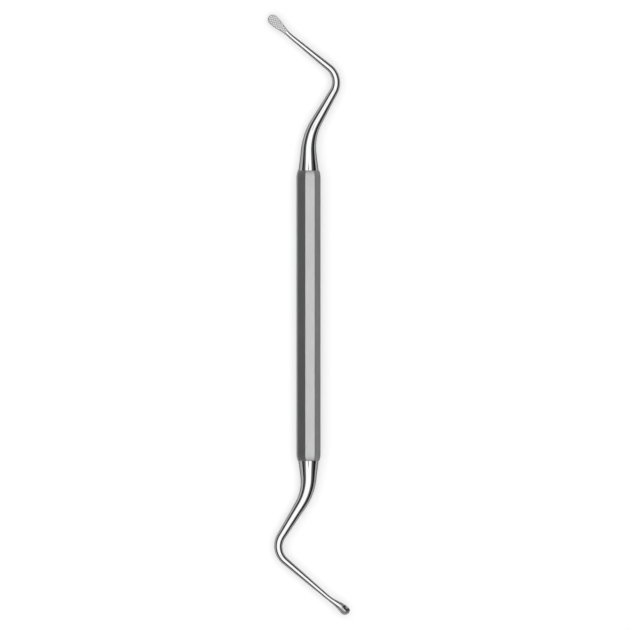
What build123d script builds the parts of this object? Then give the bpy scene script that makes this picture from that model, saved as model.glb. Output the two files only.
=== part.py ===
from build123d import *
from math import asin, atan, copysign, cos, degrees, exp, radians, sin, sqrt
import os

# A double-ended bone curette, in millimetres, lying at rest.
# The handle's axis runs along Y, and the flat that it lies on is on Z = 0.
# Both shanks bend in the level plane through the handle's axis.

# Handle: an octagonal bar whose flats curve in at both ends, with a bore in each for a tang
handle_sides = 8
handle_length = 80.0
handle_across_flats = 6.35
handle_edge_radius = 0.2
handle_nose_length = 2.0
handle_nose_across_flats = 5.65

# Tangs, and the bores that they are pressed into
tang_diameter = 3.0
tang_length = 12.0
tang_chamfer = 0.4
tang_clearance = 0.02
bore_end_gap = 0.5

# Shanks: how thick they are along the bent line
shank_root_diameter = 5.6
shank_flare = 2.45
shank_flare_length = 8.8
bend_station_angle = 20.0

# Rasp end: runs and bends from the handle outwards, with angles in degrees
rasp_root_run = 5.2
rasp_sway_radius = 16.4
rasp_sway_angle = 30.0
rasp_middle_run = 9.6
rasp_elbow_radius = 5.2
rasp_elbow_angle = 81.2
rasp_far_run = 12.8
rasp_turn_radius = 24.0
rasp_turn_angle = -4.0
rasp_neck_diameter = 1.24

# Rasp head: a teardrop with two flat faces that taper to its tip, cut with crossing grooves
rasp_head_length = 7.4
rasp_head_width = 2.76
rasp_tip_thickness = 0.9
groove_pitch = 0.54
groove_angle = 30.0
groove_depth = 0.12
groove_width = 0.25
groove_start = 0.9

# Spoon end: runs and bends from the handle outwards, with angles in degrees
spoon_root_run = 4.5
spoon_sway_radius = 14.3
spoon_sway_angle = 32.0
spoon_middle_run = 10.25
spoon_elbow_radius = 5.25
spoon_elbow_angle = 81.8
spoon_far_run = 14.2
spoon_turn_radius = 40.0
spoon_turn_angle = 2.0
spoon_neck_diameter = 1.28

# Spoon head: a hollow flare that swells to a ball set towards the face, faced and hollowed
spoon_head_length = 7.2
spoon_ball_diameter = 2.8
spoon_ball_offset = 0.3
spoon_face_height = 0.92
spoon_face_ramp = 1.6
spoon_face_tilt = 56.0
bowl_rim_width = 0.14
bowl_depth = 0.85

axis_height = handle_across_flats / 2
half_length = handle_length / 2


def shank_line(side, runs, sway, elbow, turn):
    """The centre line from one end of the handle: runs joined by (radius, angle) arcs."""
    end = Plane(origin=(0, side * half_length, axis_height), x_dir=(0, side, 0), z_dir=(0, 0, 1))
    with BuildLine(end) as line:
        root = Line((0, 0), (runs[0], 0))
        first = JernArc(root @ 1, root % 1, sway[0], -sway[1])
        middle = PolarLine(first @ 1, runs[1], direction=first % 1)
        second = JernArc(middle @ 1, middle % 1, elbow[0], elbow[1])
        far = PolarLine(second @ 1, runs[2], direction=second % 1)
        JernArc(far @ 1, far % 1, turn[0], turn[1])
    return line.wire()


def line_plane(line, distance):
    """The plane across a centre line at a distance from the handle, with its x axis up."""
    return Plane(
        origin=line.position_at(distance, position_mode=PositionMode.LENGTH),
        x_dir=(0, 0, 1),
        z_dir=line.tangent_at(distance, position_mode=PositionMode.LENGTH),
    )


def shank_radius(distance, length, neck_diameter):
    """A straight taper, plus a flare that dies away from the handle."""
    taper = (shank_root_diameter - shank_flare - neck_diameter) * (1 - distance / length)
    return (neck_diameter + taper + shank_flare * exp(-distance / shank_flare_length)) / 2


def add_shank(line, neck_diameter):
    """Adds a bent, tapered shank and its tang to the part that is open."""
    start = 0
    for stretch in line.edges():
        if stretch.geom_type == GeomType.LINE:
            add_turned_run(line, start, stretch.length, neck_diameter)
        else:
            add_lofted_bend(line, start, stretch.length, stretch.radius, neck_diameter)
        start += stretch.length
    with BuildSketch(line_plane(line, 0)) as tang:
        Circle(tang_diameter / 2)
    extrude(tang.sketch, amount=-tang_length)


def add_turned_run(line, start, length, neck_diameter):
    """A straight stretch, turned about its own middle."""
    across = line_plane(line, start)
    with BuildSketch(Plane(origin=across.origin, x_dir=across.z_dir, z_dir=across.x_dir)) as section:
        with BuildLine():
            places = (0, length / 2, length)
            side = Spline([(u, shank_radius(start + u, line.length, neck_diameter)) for u in places])
            Polyline(side @ 1, (length, 0), (0, 0), side @ 0)
        make_face()
    revolve(section.sketch, axis=Axis(across.origin, across.z_dir))


def add_lofted_bend(line, start, length, bend_radius, neck_diameter):
    """A bent stretch, lofted through circles across the line."""
    count = max(round(degrees(length / bend_radius) / bend_station_angle), 2)
    sections = []
    for station in range(count + 1):
        distance = start + length * station / count
        with BuildSketch(line_plane(line, distance)) as section:
            Circle(shank_radius(distance, line.length, neck_diameter))
        sections.append(section.sketch)
    loft(sections)


def head_plane(line, tilt):
    """The plane of a head at its neck: x along the head, y across it and z out of its face."""
    level = Plane(origin=line @ 1, x_dir=line % 1, z_dir=(0, 0, 1))
    return Plane(level.location * Rotation(-tilt, 0, 0))


def side_plane(head):
    """The plane through a head's middle: x along the head and y out of its face."""
    return Plane(origin=head.origin, x_dir=head.x_dir, z_dir=-head.y_dir)


# Handle: what bars with curved ends, turned about the axis, have in common
nose_start = half_length - handle_nose_length
nose_height = handle_nose_across_flats / 2
with BuildPart() as handle:
    for step in range(handle_sides // 2):
        turned = Location((0, 0, axis_height), (0, 360 / handle_sides * step, 0))
        with BuildSketch(Plane(turned * Plane.YZ.location)):
            with BuildLine():
                for face in (axis_height, -axis_height):
                    flat = Line((-nose_start, face), (nose_start, face))
                    nose = copysign(nose_height, face)
                    TangentArc(flat @ 1, (half_length, nose), tangent=(1, 0))
                    TangentArc(flat @ 0, (-half_length, nose), tangent=(-1, 0))
                Line((half_length, nose_height), (half_length, -nose_height))
                Line((-half_length, nose_height), (-half_length, -nose_height))
            make_face()
        extrude(amount=handle_across_flats, both=True, mode=Mode.INTERSECT if step else Mode.ADD)
    fillet(handle.edges().filter_by(Axis.Y), handle_edge_radius)
    for side in (-1, 1):
        with BuildSketch(Plane(origin=(0, side * half_length, axis_height), z_dir=(0, side, 0))):
            Circle(tang_diameter / 2 + tang_clearance)
        extrude(amount=-tang_length - bore_end_gap, mode=Mode.SUBTRACT)
handle.part.label = "handle"

# Rasp head
rasp_line = shank_line(
    1,
    (rasp_root_run, rasp_middle_run, rasp_far_run),
    (rasp_sway_radius, rasp_sway_angle),
    (rasp_elbow_radius, rasp_elbow_angle),
    (rasp_turn_radius, rasp_turn_angle),
)
rasp_plane = head_plane(rasp_line, 0)
rasp_neck = rasp_neck_diameter / 2
rasp_ball = rasp_head_width / 2

with BuildPart() as rasp_head:
    with BuildSketch(rasp_plane):
        with BuildLine():
            neck = Line((0, 0), (0, rasp_neck))
            flank = Spline(neck @ 1, (rasp_head_length - rasp_ball, rasp_ball), tangents=((1, 0), (1, 0)))
            tip = TangentArc(flank @ 1, (rasp_head_length, 0), tangent=(1, 0))
            Line(tip @ 1, neck @ 0)
        make_face()
    revolve(axis=Axis(rasp_plane.origin, rasp_plane.x_dir))
    with BuildSketch(side_plane(rasp_plane)):
        with BuildLine():
            Polyline(
                (0, rasp_neck),
                (rasp_head_length, rasp_tip_thickness / 2),
                (rasp_head_length, -rasp_tip_thickness / 2),
                (0, -rasp_neck),
                close=True,
            )
        make_face()
    extrude(amount=rasp_head_width, both=True, mode=Mode.INTERSECT)

# Crossing grooves over both faces of the rasp head
groove_rise = rasp_head_length * sin(radians(groove_angle))
groove_spread = rasp_head_width * cos(radians(groove_angle))
groove_count = round((groove_rise + groove_spread) / groove_pitch)
first_groove = -groove_pitch * (groove_count - 1) / 2
face_taper = degrees(atan((rasp_neck - rasp_tip_thickness / 2) / rasp_head_length))

with BuildPart() as grooves:
    for face in (1, -1):
        neck_edge = rasp_plane.from_local_coords((0, 0, face * rasp_neck))
        level = Plane(origin=neck_edge, x_dir=rasp_plane.x_dir, z_dir=rasp_plane.z_dir * face)
        flat = Plane(level.location * Rotation(0, face_taper, 0))
        middle = flat.from_local_coords((rasp_head_length / 2, 0, 0))
        for lean in (groove_angle, -groove_angle):
            run = Plane(flat.location * Rotation(0, 0, lean))
            with BuildSketch(Plane(origin=middle, x_dir=run.y_dir, z_dir=run.x_dir)):
                for groove in range(groove_count):
                    with BuildLine(mode=Mode.PRIVATE) as vee:
                        Polyline(
                            (-groove_width, groove_depth),
                            (groove_width, groove_depth),
                            (0, -groove_depth),
                            close=True,
                        )
                    with Locations((first_groove + groove * groove_pitch, 0)):
                        add(make_face(vee.edges(), mode=Mode.PRIVATE))
            extrude(amount=rasp_head_length, both=True)
    with BuildSketch(rasp_plane):
        with Locations((groove_start, 0)):
            Rectangle(rasp_head_length, rasp_head_width * 2, align=(Align.MIN, Align.CENTER))
    extrude(amount=rasp_neck_diameter, both=True, mode=Mode.INTERSECT)

# Rasp end
with BuildPart() as rasp_end:
    add_shank(rasp_line, rasp_neck_diameter)
    chamfer(rasp_end.edges().group_by(Axis.Y)[0], tang_chamfer)
    add(rasp_head.part)
    add(grooves.part, mode=Mode.SUBTRACT)
rasp_end.part.label = "rasp_end"

# Spoon head
spoon_line = shank_line(
    -1,
    (spoon_root_run, spoon_middle_run, spoon_far_run),
    (spoon_sway_radius, spoon_sway_angle),
    (spoon_elbow_radius, spoon_elbow_angle),
    (spoon_turn_radius, spoon_turn_angle),
)
spoon_plane = head_plane(spoon_line, spoon_face_tilt)
spoon_neck = spoon_neck_diameter / 2
spoon_ball = spoon_ball_diameter / 2
ball_x = spoon_head_length - spoon_ball
flare_radius = (ball_x**2 + spoon_neck**2 - spoon_ball**2) / (2 * (spoon_ball - spoon_neck))
flare_end = ball_x * flare_radius / (flare_radius + spoon_ball)
flare_stations = 7


def spoon_radius(x):
    """A hollow flare with one radius, which ends tangent to the ball."""
    return spoon_neck + flare_radius - sqrt(flare_radius**2 - x**2)


def spoon_offset(x):
    """How far the middle of a section lies towards the face, eased in from the neck."""
    share = x / flare_end
    return spoon_ball_offset * share**2 * (3 - 2 * share)


with BuildPart() as spoon_head:
    for step in range(flare_stations + 1):
        x = flare_end * step / flare_stations
        middle = spoon_plane.from_local_coords((x, 0, spoon_offset(x)))
        with BuildSketch(Plane(origin=middle, x_dir=spoon_plane.y_dir, z_dir=spoon_plane.x_dir)):
            Circle(spoon_radius(x))
    loft()
    ball_back = ball_x - flare_end
    ball_arc = 90 + degrees(asin(ball_back / spoon_ball))
    ball_centre = Location((ball_x, spoon_ball_offset))
    with BuildSketch(Plane(side_plane(spoon_plane).location * ball_centre)):
        with BuildLine():
            tip = CenterArc((0, 0), spoon_ball, 0, ball_arc)
            Polyline(tip @ 1, (-ball_back, 0), tip @ 0)
        make_face()
    revolve(axis=Axis(middle, spoon_plane.x_dir))

# Spoon end, faced behind and around the bowl
face_rise = spoon_face_height - spoon_ball_offset
face_half_width = sqrt(spoon_ball**2 - face_rise**2)
bowl_radius = face_half_width - bowl_rim_width
bowl_sphere = (bowl_radius**2 + bowl_depth**2) / (2 * bowl_depth)
ramp_end = ball_x - bowl_radius
head_top = spoon_ball + spoon_ball_offset

with BuildPart() as spoon_end:
    add_shank(spoon_line, spoon_neck_diameter)
    chamfer(spoon_end.edges().group_by(Axis.Y)[-1], tang_chamfer)
    add(spoon_head.part)
    with BuildSketch(side_plane(spoon_plane)):
        with BuildLine():
            ramp_start = (ramp_end - spoon_face_ramp, head_top)
            ramp = Spline(ramp_start, (ramp_end, spoon_face_height), tangents=((1, 0), (1, 0)))
            Polyline(
                ramp @ 1,
                (spoon_head_length + spoon_ball, spoon_face_height),
                (spoon_head_length + spoon_ball, head_top + spoon_ball),
                (ramp_end - spoon_face_ramp, head_top + spoon_ball),
                ramp @ 0,
            )
        make_face()
    extrude(amount=spoon_ball_diameter, both=True, mode=Mode.SUBTRACT)
    bowl_centre = (ball_x, 0, spoon_face_height + bowl_sphere - bowl_depth)
    with Locations(spoon_plane.from_local_coords(bowl_centre)):
        Sphere(bowl_sphere, mode=Mode.SUBTRACT)
spoon_end.part.label = "spoon_end"

os.makedirs("parts", exist_ok=True)
export_step(handle.part, "parts/handle.step")
export_step(rasp_end.part, "parts/rasp_end.step")
export_step(spoon_end.part, "parts/spoon_end.step")
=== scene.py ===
import math

import bpy
import numpy as np
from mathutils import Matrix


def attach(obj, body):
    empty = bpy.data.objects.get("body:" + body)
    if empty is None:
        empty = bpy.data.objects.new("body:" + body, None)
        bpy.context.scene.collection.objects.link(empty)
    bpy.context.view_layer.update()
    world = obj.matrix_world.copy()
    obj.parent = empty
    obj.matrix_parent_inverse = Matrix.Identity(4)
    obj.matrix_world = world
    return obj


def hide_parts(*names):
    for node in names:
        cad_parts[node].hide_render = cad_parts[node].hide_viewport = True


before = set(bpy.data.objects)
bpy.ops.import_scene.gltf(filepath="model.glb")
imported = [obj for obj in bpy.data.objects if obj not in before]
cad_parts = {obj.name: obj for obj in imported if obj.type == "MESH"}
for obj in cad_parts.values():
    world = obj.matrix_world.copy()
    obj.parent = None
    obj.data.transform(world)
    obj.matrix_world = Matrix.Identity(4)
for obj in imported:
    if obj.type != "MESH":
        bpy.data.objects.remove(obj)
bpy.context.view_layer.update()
mm = 0.001
axisHeight = 3.175  # the handle's axis above the floor, in mm
handleEnd = 40.0  # from the middle of the handle to either end, in mm
print("frame loaded:", sorted(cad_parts))


def softMin(a, b, blend):
    # the smaller of two values, rounded over a distance of blend where they cross
    gap = np.clip(1 - np.abs(a - b) / blend, 0, 1)
    return np.minimum(a, b) - blend * gap**3 / 6


def easeInOut(t):
    # 3t^2 - 2t^3 between 0 and 1, level at both ends
    t = np.clip(t, 0, 1)
    return t * t * (3 - 2 * t)


def roundedProfile(corners, steps=6, keepFlat=0.35):
    # corners are (along, radius, rounding); each corner with a rounding becomes a quarter-like arc
    # a row set past each end of the arc, by keepFlat times the rounding, keeps the flat sides flat
    points = np.array([c[:2] for c in corners], float)
    out = [points[:1]]
    for i in range(1, len(corners) - 1):
        size = corners[i][2]
        if size == 0:
            out.append(points[i : i + 1])
            continue
        back = points[i - 1] - points[i]
        ahead = points[i + 1] - points[i]
        start = points[i] + back / np.linalg.norm(back) * size
        end = points[i] + ahead / np.linalg.norm(ahead) * size
        t = np.linspace(0, 1, steps + 1)[:, None]
        arc = (1 - t) ** 2 * start + 2 * t * (1 - t) * points[i] + t**2 * end
        out.append(start[None] + (start - points[i])[None] * keepFlat)
        out.append(arc)
        out.append(end[None] + (end - points[i])[None] * keepFlat)
    out.append(points[-1:])
    return np.concatenate(out)


def closedSkin(name, rings, slots, marks):
    # rings is rows x columns x 3, in mm; the first and last rows close to a point
    # marks holds a value from 0 to 1 for each place in rings, by the name that the materials read
    rows, cols = rings.shape[:2]
    inner = rings[1:-1].reshape(-1, 3)
    poles = np.array([rings[0].mean(0), rings[-1].mean(0)])
    verts = np.concatenate([inner, poles]) * mm
    grid = np.arange((rows - 2) * cols).reshape(rows - 2, cols)
    turned = np.roll(grid, -1, axis=1)
    quads = np.stack([grid[:-1], grid[1:], turned[1:], turned[:-1]], axis=-1).reshape(-1, 4)
    first, last = len(inner), len(inner) + 1
    capA = np.stack([np.full(cols, first), grid[0], turned[0]], axis=-1)
    capB = np.stack([np.full(cols, last), turned[-1], grid[-1]], axis=-1)
    faces = capA.tolist() + quads.tolist() + capB.tolist()
    mesh = bpy.data.meshes.new(name)
    mesh.from_pydata(verts.tolist(), [], faces)
    between = np.repeat(np.arange(rows - 3) + 1, cols)
    rowOfFace = np.concatenate([np.zeros(cols), between, np.full(cols, rows - 2)]).astype(int)
    mesh.polygons.foreach_set("use_smooth", np.ones(len(faces), bool))
    mesh.polygons.foreach_set("material_index", slots[rowOfFace].astype(np.int32))
    for mark, share in marks.items():
        layer = mesh.attributes.new(mark, "FLOAT", "POINT")
        ends = [share[0].mean(), share[-1].mean()]
        layer.data.foreach_set("value", np.concatenate([share[1:-1].ravel(), ends]).astype(np.float32))
    mesh.update()
    mesh.set_sharp_from_angle(angle=math.radians(50))
    piece = bpy.data.objects.new(name, mesh)
    bpy.context.scene.collection.objects.link(piece)
    return piece


class Shade:
    # a value in a node tree: sums, differences and products of it become Math nodes
    def __init__(self, maker, socket):
        self.maker = maker
        self.socket = socket

    def math(self, kind, other, swapped=False):
        pair = (other, self) if swapped else (self, other)
        return self.maker.value("ShaderNodeMath", {"operation": kind}, {0: pair[0], 1: pair[1]})

    def __add__(self, other):
        return self.math("ADD", other)

    def __sub__(self, other):
        return self.math("SUBTRACT", other)

    def __rsub__(self, other):
        return self.math("SUBTRACT", other, True)

    def __mul__(self, other):
        return self.math("MULTIPLY", other)

    __radd__ = __add__
    __rmul__ = __mul__

    def clamp(self, low=0.0, high=1.0):
        return self.maker.value("ShaderNodeClamp", {}, {"Value": self, "Min": low, "Max": high})

    def smooth(self, low, high):
        # 0 below low, 1 above high and a soft step between
        settings = {"interpolation_type": "SMOOTHSTEP"}
        inputs = {"Value": self, "From Min": low, "From Max": high}
        return self.maker.value("ShaderNodeMapRange", settings, inputs)


class Maker:
    # builds the nodes of one material or world
    def __init__(self, tree):
        self.tree = tree

    def node(self, kind, settings, inputs):
        made = self.tree.nodes.new(kind)
        for key, value in settings.items():
            setattr(made, key, value)
        for key, value in inputs.items():
            if isinstance(value, Shade):
                value = value.socket
            if isinstance(value, bpy.types.NodeSocket):
                self.tree.links.new(value, made.inputs[key])
            else:
                made.inputs[key].default_value = value
        return made

    def value(self, kind, settings, inputs, output=0):
        return Shade(self, self.node(kind, settings, inputs).outputs[output])

    def place(self, scale=(1, 1, 1)):
        # Object coordinates in mm, stretched by scale
        coords = self.node("ShaderNodeTexCoord", {}, {}).outputs["Object"]
        size = tuple(s / mm for s in scale)
        return self.node("ShaderNodeMapping", {}, {"Vector": coords, "Scale": size}).outputs[0]

    def mark(self, name):
        # a value that closedSkin stored at each place of the piece
        return self.value("ShaderNodeAttribute", {"attribute_name": name}, {}, "Fac")

    def noise(self, scale, size=1.0, detail=2.0, rough=0.5):
        inputs = {"Vector": self.place(scale), "Scale": size, "Detail": detail, "Roughness": rough}
        return self.value("ShaderNodeTexNoise", {}, inputs)

    def grey(self, value, tint=(1, 1, 1)):
        # a colour from a value: the value in each channel, times the tint
        return self.node(
            "ShaderNodeCombineColor",
            {},
            {"Red": value * tint[0], "Green": value * tint[1], "Blue": value * tint[2]},
        ).outputs[0]


def newMaterial(name):
    material = bpy.data.materials.new(name)
    material.use_nodes = True
    material.node_tree.nodes.clear()
    return material, Maker(material.node_tree)


def finishMaterial(maker, shader):
    out = maker.node("ShaderNodeOutputMaterial", {}, {})
    maker.tree.links.new(shader.outputs[0], out.inputs["Surface"])


# metal seen at a grazing angle: darker than its own tone where polished, about its own tone where satin
edgeTint = (0.05, 0.05, 0.05, 1.0)
satinEdgeTint = (0.6, 0.6, 0.6, 1.0)

polish = {
    "tone": 0.39,
    "toneSwing": 0.03,
    "roughness": 0.055,
    "roughnessSwing": 0.03,
    "groundTone": 0.36,
    "groundRoughness": 0.42,
    # painted shade: the bowl's hollow is coloured far darker than the ground finish around it
    "bowlShadeTone": 0.12,
}


def polishedSteel():
    # mirror-polished steel with faint streaks left along the length by the polishing wheel,
    # which turns to an even ground finish where the mark "ground" says so; at the mark "hollow" it is painted
    # much darker, as painted shade in the spoon's bowl
    material, m = newMaterial("polishedSteel")
    ground = m.mark("ground")
    hollow = m.mark("hollow")
    cloud = m.noise((0.35, 0.35, 0.35), 1.0, 3.0)
    streak = m.noise((5.0, 0.6, 5.0), 1.0, 2.0)
    ripple = m.noise((1.2, 1.2, 1.2), 1.0, 1.0)
    grit = m.noise((16.0, 16.0, 16.0), 1.0, 2.0)
    tone = polish["tone"] + (cloud - 0.5) * polish["toneSwing"]
    toGround = polish["groundTone"] - polish["tone"]
    toBowlShade = polish["bowlShadeTone"] - polish["groundTone"]
    tone = tone + ground * toGround + hollow * toBowlShade
    rough = polish["roughness"] + (streak - 0.5) * polish["roughnessSwing"]
    rough = (rough + ground * (polish["groundRoughness"] - polish["roughness"])).clamp(0.02, 0.6)
    height = ripple * 0.05 + streak * 0.01 + grit * ground * 0.02
    bump = m.node("ShaderNodeBump", {}, {"Strength": 0.15, "Distance": 0.1 * mm, "Height": height})
    shader = m.node(
        "ShaderNodeBsdfPrincipled",
        {},
        {
            "Base Color": m.grey(tone, (1.0, 1.0, 1.005)),
            "Metallic": 1.0,
            "Roughness": rough,
            "Specular Tint": edgeTint,
            "Normal": bump.outputs[0],
        },
    )
    finishMaterial(m, shader)
    return material


satin = {"tone": 0.26, "toneSwing": 0.04, "roughness": 0.36, "roughnessSwing": 0.12, "grain": 0.35}


def satinSteel():
    # brushed steel: fine lines drawn along the bar, over softer clouding
    material, m = newMaterial("satinSteel")
    cloud = m.noise((0.5, 0.15, 0.5), 1.0, 3.0)
    line = m.noise((14.0, 0.35, 14.0), 1.0, 2.0)
    fineLine = m.noise((34.0, 0.9, 34.0), 1.0, 1.0)
    tone = satin["tone"] + (cloud - 0.5) * satin["toneSwing"] + (fineLine - 0.5) * satin["toneSwing"]
    rough = (satin["roughness"] + (line - 0.5) * satin["roughnessSwing"]).clamp(0.1, 0.6)
    height = line * 0.6 + fineLine * 0.4
    bump = m.node("ShaderNodeBump", {}, {"Strength": satin["grain"], "Distance": 0.02 * mm, "Height": height})
    shader = m.node(
        "ShaderNodeBsdfPrincipled",
        {},
        {
            "Base Color": m.grey(tone, (1.0, 1.0, 1.01)),
            "Metallic": 1.0,
            "Roughness": rough,
            "Specular Tint": satinEdgeTint,
            "Normal": bump.outputs[0],
        },
    )
    finishMaterial(m, shader)
    return material


teeth = {
    "tone": 0.37,
    "toneSwing": 0.06,
    "roughness": 0.28,
    "roughnessSwing": 0.12,
    # painted shade: the grooves are coloured darker than the teeth
    "grooveShadeTone": 0.28,
    "grooveRoughness": 0.5,
}


def toothedSteel():
    # the cut head: teeth with a milled finish, and rougher metal down in the grooves, which are also painted
    # darker as painted shade
    material, m = newMaterial("toothedSteel")
    groove = m.mark("groove")
    speck = m.noise((6.0, 6.0, 6.0), 1.0, 3.0, 0.6)
    tone = teeth["tone"] + (speck - 0.5) * teeth["toneSwing"] + groove * (teeth["grooveShadeTone"] - teeth["tone"])
    rough = teeth["roughness"] + (speck - 0.5) * teeth["roughnessSwing"]
    rough = (rough + groove * (teeth["grooveRoughness"] - teeth["roughness"])).clamp(0.1, 0.7)
    bump = m.node("ShaderNodeBump", {}, {"Strength": 0.3, "Distance": 0.02 * mm, "Height": speck})
    shader = m.node(
        "ShaderNodeBsdfPrincipled",
        {},
        {
            "Base Color": m.grey(tone),
            "Metallic": 1.0,
            "Roughness": rough,
            "Specular Tint": edgeTint,
            "Normal": bump.outputs[0],
        },
    )
    finishMaterial(m, shader)
    return material


steel = polishedSteel()
brushed = satinSteel()
milled = toothedSteel()
print("materials made")

handle = {
    "acrossFlats": 6.35,
    "edgeRounding": 0.2,
    "noseLength": 2.0,
    "noseAcrossFlats": 5.65,
    "boreDiameter": 3.04,
    "boreDepth": 12.5,
}


def octagonOutline(half, rounding, alongFlat=15, alongEdge=6):
    # one flat and one rounded edge, repeated eight times round the bar, for each half width given
    half = half[:, None]
    reach = (half - rounding) * math.tan(math.pi / 8)
    flat = np.stack([half + np.zeros(alongFlat), reach * np.linspace(-1, 1, alongFlat)], axis=-1)
    turn = np.linspace(0, math.pi / 4, alongEdge + 2)[1:-1]
    edge = np.stack([half - rounding + rounding * np.cos(turn), reach + rounding * np.sin(turn)], axis=-1)
    side = np.concatenate([flat, edge], axis=1)
    angles = np.arange(8) * math.pi / 4
    spin = np.array([[np.cos(angles), -np.sin(angles)], [np.sin(angles), np.cos(angles)]])
    return np.einsum("ijk,rnj->rkni", spin, side).reshape(len(half), -1, 2)


def buildHandle(size):
    # the half width along one end: out of the bore, over the end face, up the curved nose and along the bar
    half = size["acrossFlats"] / 2
    nose = size["noseAcrossFlats"] / 2
    bore = size["boreDiameter"] / 2
    depth = handleEnd - size["boreDepth"]
    noseStart = handleEnd - size["noseLength"]
    # the nose is an arc that leaves the bar level and meets the end face
    arcRadius = (size["noseLength"] ** 2 + (half - nose) ** 2) / (2 * (half - nose))
    ahead = np.linspace(1, 0, 22) * (size["noseLength"] - 0.15)
    noseArc = [(noseStart + a, half - arcRadius + math.sqrt(arcRadius**2 - a**2), 0) for a in ahead]
    inner = [(depth, 0, 0), (depth, bore, 0.05), (handleEnd, bore, 0.06), (handleEnd, nose, 0.07)]
    end = roundedProfile(inner + noseArc + [(0, half, 0)])
    profile = np.concatenate([end, end[-2::-1] * (-1, 1)])
    outline = octagonOutline(profile[:, 1], size["edgeRounding"])
    circle = outline / np.linalg.norm(outline, axis=2, keepdims=True) * profile[:, 1, None, None]
    inBore = np.clip(1 - (profile[:, 1] - bore - 0.06) / 0.1, 0, 1)[:, None, None]
    ring = outline + (circle - outline) * inBore
    along = profile[:, :1] + np.zeros(ring.shape[1])
    rings = np.stack([ring[:, :, 0], along, axisHeight + ring[:, :, 1]], axis=-1)
    piece = closedSkin("handle_bar", rings, np.zeros(len(rings) - 1), {})
    piece.data.materials.append(brushed)
    return piece


handleBar = buildHandle(handle)
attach(handleBar, "root")
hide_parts("handle")
print("handle made")

shank = {
    "rootDiameter": 5.6,
    "flare": 2.45,
    "flareLength": 8.8,
    "tangDiameter": 3.0,
    "tangLength": 12.0,
    "tangChamfer": 0.4,
}

raspEnd = {
    "side": 1,
    "runs": (5.2, 9.6, 12.8),
    "bends": ((16.4, -30.0), (5.2, 81.2), (24.0, -4.0)),
    "neckDiameter": 1.24,
    "headLength": 7.4,
    "headWidth": 2.76,
    "tipThickness": 0.9,
    "groovePitch": 0.54,
    "grooveAngle": 30.0,
    "grooveDepth": 0.09,
    "grooveWidth": 0.13,
    "grooveStart": 0.9,
    "rowSpacing": 0.028,
}

spoonEnd = {
    "side": -1,
    "runs": (4.5, 10.25, 14.2),
    "bends": ((14.3, -32.0), (5.25, 81.8), (40.0, 2.0)),
    "neckDiameter": 1.28,
    "headLength": 7.2,
    "ballDiameter": 2.8,
    "ballOffset": 0.3,
    "faceHeight": 0.92,
    "faceRamp": 1.6,
    "faceTilt": 56.0,
    "rimWidth": 0.14,
    "bowlDepth": 0.85,
    "groundFrom": 2.6,
    "groundOver": 2.4,
    "rowSpacing": 0.035,
}


def lineLength(runs, bends):
    return sum(runs) + sum(r * math.radians(abs(a)) for r, a in bends)


def bentLine(s, runs, bends):
    # the heading grows evenly through each bend; the place is the sum of small steps along it
    fine = np.linspace(0, lineLength(runs, bends), 12001)
    heading = np.zeros_like(fine)
    start = 0.0
    for run, (radius, angle) in zip(runs, bends):
        start += run
        arc = radius * math.radians(abs(angle))
        heading += math.radians(angle) * np.clip((fine - start) / arc, 0, 1)
        start += arc
    step = fine[1] - fine[0]
    middle = (heading[1:] + heading[:-1]) / 2
    along = np.concatenate([[0], np.cumsum(np.cos(middle)) * step])
    left = np.concatenate([[0], np.cumsum(np.sin(middle)) * step])
    turn = np.interp(s, fine, heading)
    before = np.minimum(s, 0)
    beyond = np.maximum(s - fine[-1], 0)
    u = np.interp(s, fine, along) + before + beyond * np.cos(turn)
    v = np.interp(s, fine, left) + beyond * np.sin(turn)
    return u, v, turn


def carry(side, s, across, up, end, tilt=0.0):
    # puts a section (across to the left of the line, up out of it) at each place s along the bent line
    u, v, turn = bentLine(s, end["runs"], end["bends"])
    lean = math.radians(tilt)
    left = across * math.cos(lean) + up * math.sin(lean)
    high = up * math.cos(lean) - across * math.sin(lean)
    u = u - left * np.sin(turn)
    v = v + left * np.cos(turn)
    return np.stack([-side * v, side * (handleEnd + u), axisHeight + high], axis=-1)


def shankRadius(s, end):
    # a straight taper to the neck, plus a flare that dies away from the handle
    length = lineLength(end["runs"], end["bends"])
    slope = shank["rootDiameter"] - shank["flare"] - end["neckDiameter"]
    taper = end["neckDiameter"] + slope * (1 - s / length)
    return (taper + shank["flare"] * np.exp(-s / shank["flareLength"])) / 2


def shankStations(end):
    # tang and shoulder, then places along the shank, closer together through the bends
    tang = shank["tangDiameter"] / 2
    root = shank["rootDiameter"] / 2
    back = shank["tangLength"]
    chamfer = shank["tangChamfer"]
    corners = [
        (-back, 0, 0),
        (-back, tang - chamfer, 0),
        (chamfer - back, tang, 0),
        (0, tang, 0.05),
        (0, root, 0.04),
        (0.4, float(shankRadius(0.4, end)), 0),
    ]
    start = roundedProfile(corners, 4)
    places = [np.zeros(0)]
    at = 0.0
    for run, (radius, angle) in zip(end["runs"], end["bends"]):
        arc = radius * math.radians(abs(angle))
        places.append(np.linspace(at, at + run, max(int(run / 0.7), 2), endpoint=False))
        places.append(np.linspace(at + run, at + run + arc, max(int(abs(angle) / 3.2), 3), endpoint=False))
        at += run + arc
    s = np.concatenate(places)
    s = s[s > 0.45]
    return np.concatenate([start, np.stack([s, shankRadius(s, end)], axis=-1)]), at


def headStations(length, ball, spacing):
    # even places to the middle of the round tip, then places at even angles round it
    straight = np.arange(0, length - ball, spacing)
    turn = np.linspace(0, math.pi / 2, int(ball * math.pi / 2 / spacing))
    return np.concatenate([straight, length - ball + ball * np.sin(turn)])


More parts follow.
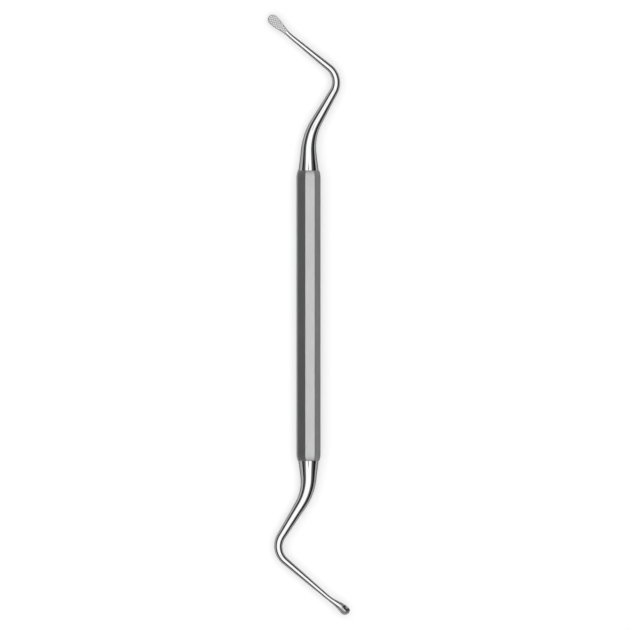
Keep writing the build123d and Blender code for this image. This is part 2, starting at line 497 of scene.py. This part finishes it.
def raspSection(x, angle, end):
    # a round teardrop between two flats that close towards the tip, with crossing V grooves in both
    neck = end["neckDiameter"] / 2
    ball = end["headWidth"] / 2
    ballAt = end["headLength"] - ball
    swell = neck + (ball - neck) * easeInOut(x / ballAt)
    tip = np.sqrt(np.maximum(ball**2 - (x - ballAt) ** 2, 0))
    radius = np.where(x < ballAt, swell, tip)
    across = radius * np.cos(angle)
    up = radius * np.sin(angle)
    flat = neck + (end["tipThickness"] / 2 - neck) * x / end["headLength"]
    lean = math.radians(end["grooveAngle"])
    depth = np.zeros_like(across)
    for sign in (1, -1):
        offset = (x - end["headLength"] / 2) * math.sin(lean) * sign + across * math.cos(lean)
        count = round(
            (end["headLength"] * math.sin(lean) + end["headWidth"] * math.cos(lean)) / end["groovePitch"]
        )
        shift = 0.5 * ((count - 1) % 2)
        cell = offset / end["groovePitch"] - shift
        away = np.abs(cell - np.round(cell)) * end["groovePitch"]
        notch = np.clip(1 - 2 * away / end["grooveWidth"], 0, 1) ** 1.5
        depth = np.maximum(depth, end["grooveDepth"] * notch)
    depth = depth * easeInOut((x - end["grooveStart"] + 0.1) / 0.3)
    cut = depth / end["grooveDepth"] * np.clip((np.abs(up) - flat + depth) / 0.05, 0, 1)
    return across, np.sign(up) * softMin(np.abs(up), flat - depth, 0.03), cut


def buildRasp(end):
    spread = np.linspace(-1, 1, 92)[1:-1]
    over = np.arccos(spread[::-1])  # even steps across the flats
    side = np.linspace(-0.5, 0.5, 22) * (over[0] * 2)
    angle = np.concatenate([side, over, side + math.pi, over + math.pi])
    angle = np.unique(np.round(np.mod(angle, 2 * math.pi), 6))
    rows, length = shankStations(end)
    x = headStations(end["headLength"], end["headWidth"] / 2, end["rowSpacing"])
    across, up, cut = raspSection(x[:, None], angle[None], end)
    bar = rows[:, 1:]
    across = np.concatenate([bar * np.cos(angle), across])
    up = np.concatenate([bar * np.sin(angle), up])
    s = np.concatenate([rows[:, 0], length + x])[:, None]
    rings = carry(end["side"], s + across * 0, across, up, end)
    firstCut = len(rows) + int(end["grooveStart"] / end["rowSpacing"])
    slots = np.where(np.arange(len(s) - 1) >= firstCut, 1, 0)
    # the groove mark makes the grooves rougher and paints shade into them
    groove = np.concatenate([bar * angle * 0, cut])
    marks = {"groove": groove, "ground": groove * 0, "hollow": groove * 0}
    piece = closedSkin("rasp_shank", rings, slots, marks)
    piece.data.materials.append(steel)
    piece.data.materials.append(milled)
    return piece


def spoonSection(x, angle, end):
    # circles that swell to a ball set towards the face, under a face that ramps down to a hollowed end
    neck = end["neckDiameter"] / 2
    ball = end["ballDiameter"] / 2
    ballAt = end["headLength"] - ball
    flareRadius = (ballAt**2 + neck**2 - ball**2) / (2 * (ball - neck))
    flareEnd = ballAt * flareRadius / (flareRadius + ball)
    flare = neck + flareRadius - np.sqrt(flareRadius**2 - np.minimum(x, flareEnd) ** 2)
    radius = np.where(x < flareEnd, flare, np.sqrt(np.maximum(ball**2 - (x - ballAt) ** 2, 0)))
    across = radius * np.cos(angle)
    up = end["ballOffset"] * easeInOut(x / flareEnd) + radius * np.sin(angle)
    bowl = math.sqrt(ball**2 - (end["faceHeight"] - end["ballOffset"]) ** 2) - end["rimWidth"]
    sphere = (bowl**2 + end["bowlDepth"] ** 2) / (2 * end["bowlDepth"])
    headTop = ball + end["ballOffset"]
    ramp = easeInOut((x - ballAt + bowl) / end["faceRamp"] + 1)
    face = headTop + (end["faceHeight"] - headTop) * ramp
    distance = (x - ballAt) ** 2 + across**2
    basin = end["faceHeight"] + sphere - end["bowlDepth"] - np.sqrt(np.maximum(sphere**2 - distance, 0))
    hollow = np.where(distance < sphere**2, basin, headTop + 1)
    # the ramp is blended into the flare, the rim round the hollow stays crisp, and the mark of painted shade
    # in the hollow softens over it
    faced = softMin(up, face + across * 0, 0.16 - 0.13 * ramp)
    level = np.where(up > -0.2, softMin(faced, hollow, 0.03), up)
    # painted shade: how much the bowl's hollow is darkened, growing from the rim down into it
    paintedBowlShade = (up > -0.2) * easeInOut((face - hollow + 0.12) / 0.5)
    return across, level, paintedBowlShade


def buildSpoon(end):
    spread = np.linspace(-1, 1, 102)[1:-1]
    over = np.arccos(spread[::-1])
    under = np.linspace(math.pi, 2 * math.pi, 62)
    angle = np.unique(np.round(np.concatenate([over, under, np.linspace(0, over[0], 6)]), 6))
    angle = angle[angle < 2 * math.pi - 1e-4]
    rows, length = shankStations(end)
    x = headStations(end["headLength"], end["ballDiameter"] / 2, end["rowSpacing"])
    across, up, paintedBowlShade = spoonSection(x[:, None], angle[None], end)
    bar = rows[:, 1:]
    across = np.concatenate([bar * np.cos(angle), across])
    up = np.concatenate([bar * np.sin(angle), up])
    s = np.concatenate([rows[:, 0], length + x])[:, None]
    rings = carry(end["side"], s + across * 0, across, up, end, end["faceTilt"])
    ground = easeInOut((s - length - end["groundFrom"]) / end["groundOver"]) + across * 0
    # the painted shade in the bowl, which reaches the material through the mark "hollow"
    hollow = np.concatenate([bar * angle * 0, paintedBowlShade])
    piece = closedSkin("spoon_shank", rings, np.zeros(len(s) - 1), {"ground": ground, "hollow": hollow})
    piece.data.materials.append(steel)
    return piece


raspShank = buildRasp(raspEnd)
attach(raspShank, "root")
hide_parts("rasp_end")
print("rasp end made")

spoonShank = buildSpoon(spoonEnd)
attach(spoonShank, "root")
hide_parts("spoon_end")
print("spoon end made")

floorLook = {"size": 3.0, "tone": 0.5, "lift": 0.47}


def paleFloor(look):
    half = look["size"]
    mesh = bpy.data.meshes.new("studio_floor")
    corners = [(-half, -half, 0), (half, -half, 0), (half, half, 0), (-half, half, 0)]
    mesh.from_pydata(corners, [], [(0, 1, 2, 3)])
    floor = bpy.data.objects.new("studio_floor", mesh)
    bpy.context.scene.collection.objects.link(floor)
    material, m = newMaterial("paleFloor")
    grey = (look["tone"],) * 3 + (1,)
    card = m.node("ShaderNodeBsdfDiffuse", {}, {"Color": grey})
    light = m.node("ShaderNodeLightPath", {}, {})
    seen = Shade(m, light.outputs["Is Camera Ray"]) + Shade(m, light.outputs["Is Glossy Ray"])
    seen = (seen + Shade(m, light.outputs["Is Transmission Ray"])).clamp()
    glow = m.node("ShaderNodeEmission", {}, {"Color": (1, 1, 1, 1), "Strength": seen * look["lift"]})
    both = m.node("ShaderNodeAddShader", {}, {0: card.outputs[0], 1: glow.outputs[0]})
    finishMaterial(m, both)
    floor.data.materials.append(material)
    return floor


paleFloor(floorLook)

sky = {
    "white": 2.5,
    "ring": 0.26,
    "dark": 0.03,
    "ends": 0.6,
    "below": 1.0,
    "tilt": 8.0,
    "panelEdge": (42, 36),  # degrees from the axis at which the panel starts and is full
    "ringEdge": (66, 58),
}


def studioSky(look):
    # a large white panel above the camera, a grey surround and a dark band near the horizon,
    # with a softly lit place past each end of the instrument
    world = bpy.data.worlds.new("studioSky")
    bpy.context.scene.world = world
    world.use_nodes = True
    world.node_tree.nodes.clear()
    m = Maker(world.node_tree)
    ray = m.node("ShaderNodeTexCoord", {}, {}).outputs["Generated"]
    lean = math.radians(look["tilt"])
    axis = (-math.sin(lean), 0, math.cos(lean))
    toward = m.value("ShaderNodeVectorMath", {"operation": "DOT_PRODUCT"}, {0: ray, 1: axis}, "Value")
    panel = toward.smooth(*np.cos(np.radians(look["panelEdge"])).tolist())
    ring = toward.smooth(*np.cos(np.radians(look["ringEdge"])).tolist())
    length = m.value("ShaderNodeVectorMath", {"operation": "DOT_PRODUCT"}, {0: ray, 1: (0, 1, 0)}, "Value")
    height = m.value("ShaderNodeVectorMath", {"operation": "DOT_PRODUCT"}, {0: ray, 1: (0, 0, 1)}, "Value")
    light = look["dark"] + ring * (look["ring"] - look["dark"]) + panel * (look["white"] - look["ring"])
    light = light + (length * length).smooth(0.7, 0.95) * look["ends"]
    light = light + (0 - height).smooth(0.0, 0.01) * look["below"]
    back = m.node("ShaderNodeBackground", {}, {"Color": (1, 1, 1, 1), "Strength": light})
    out = m.node("ShaderNodeOutputWorld", {}, {})
    m.tree.links.new(back.outputs[0], out.inputs["Surface"])


studioSky(sky)

flag = {"height": 300.0, "near": 79.6, "far": 96.6, "halfWidth": 30.0, "tone": 0.02}


def darkFlag(side, look, tilt):
    # a dark triangle high above one end, square to the view, which only the shank's flared root mirrors
    lean = math.radians(tilt)
    sideways = np.array([math.cos(lean), 0, math.sin(lean)])
    above = look["height"] * np.array([-math.sin(lean), 0, math.cos(lean)])
    middle = above + (0, side * handleEnd, axisHeight)
    outwards = np.array([0, side, 0])
    tip = middle + look["near"] * outwards
    corners = [middle + look["far"] * outwards + look["halfWidth"] * sign * sideways for sign in (-1, 1)]
    mesh = bpy.data.meshes.new("dark_flag")
    mesh.from_pydata((np.array([tip] + corners) * mm).tolist(), [], [(0, 1, 2)])
    card = bpy.data.objects.new("dark_flag", mesh)
    bpy.context.scene.collection.objects.link(card)
    material, m = newMaterial("darkFlag")
    finishMaterial(m, m.node("ShaderNodeBsdfDiffuse", {}, {"Color": (look["tone"],) * 3 + (1,)}))
    card.data.materials.append(material)
    card.visible_camera = False
    card.visible_diffuse = False
    card.visible_shadow = False


darkFlag(1, flag, sky["tilt"])
darkFlag(-1, flag, sky["tilt"])
print("floor and light made")

view = {"tilt": 8.0, "distance": 0.6, "width": 0.1736, "target": (0.0018, 0.0002, 0.0032)}


def addCamera(look):
    camera = bpy.data.cameras.new("photo_camera")
    camera.type = "ORTHO"
    camera.ortho_scale = look["width"]
    camera.clip_start = 0.01
    camera.clip_end = 20.0
    holder = bpy.data.objects.new("photo_camera", camera)
    lean = math.radians(look["tilt"])
    target = np.array(look["target"])
    holder.location = target + look["distance"] * np.array([-math.sin(lean), 0, math.cos(lean)])
    holder.rotation_euler = (0, -lean, 0)
    bpy.context.scene.collection.objects.link(holder)
    bpy.context.scene.camera = holder


addCamera(view)
bpy.context.scene.view_settings.view_transform = "Standard"
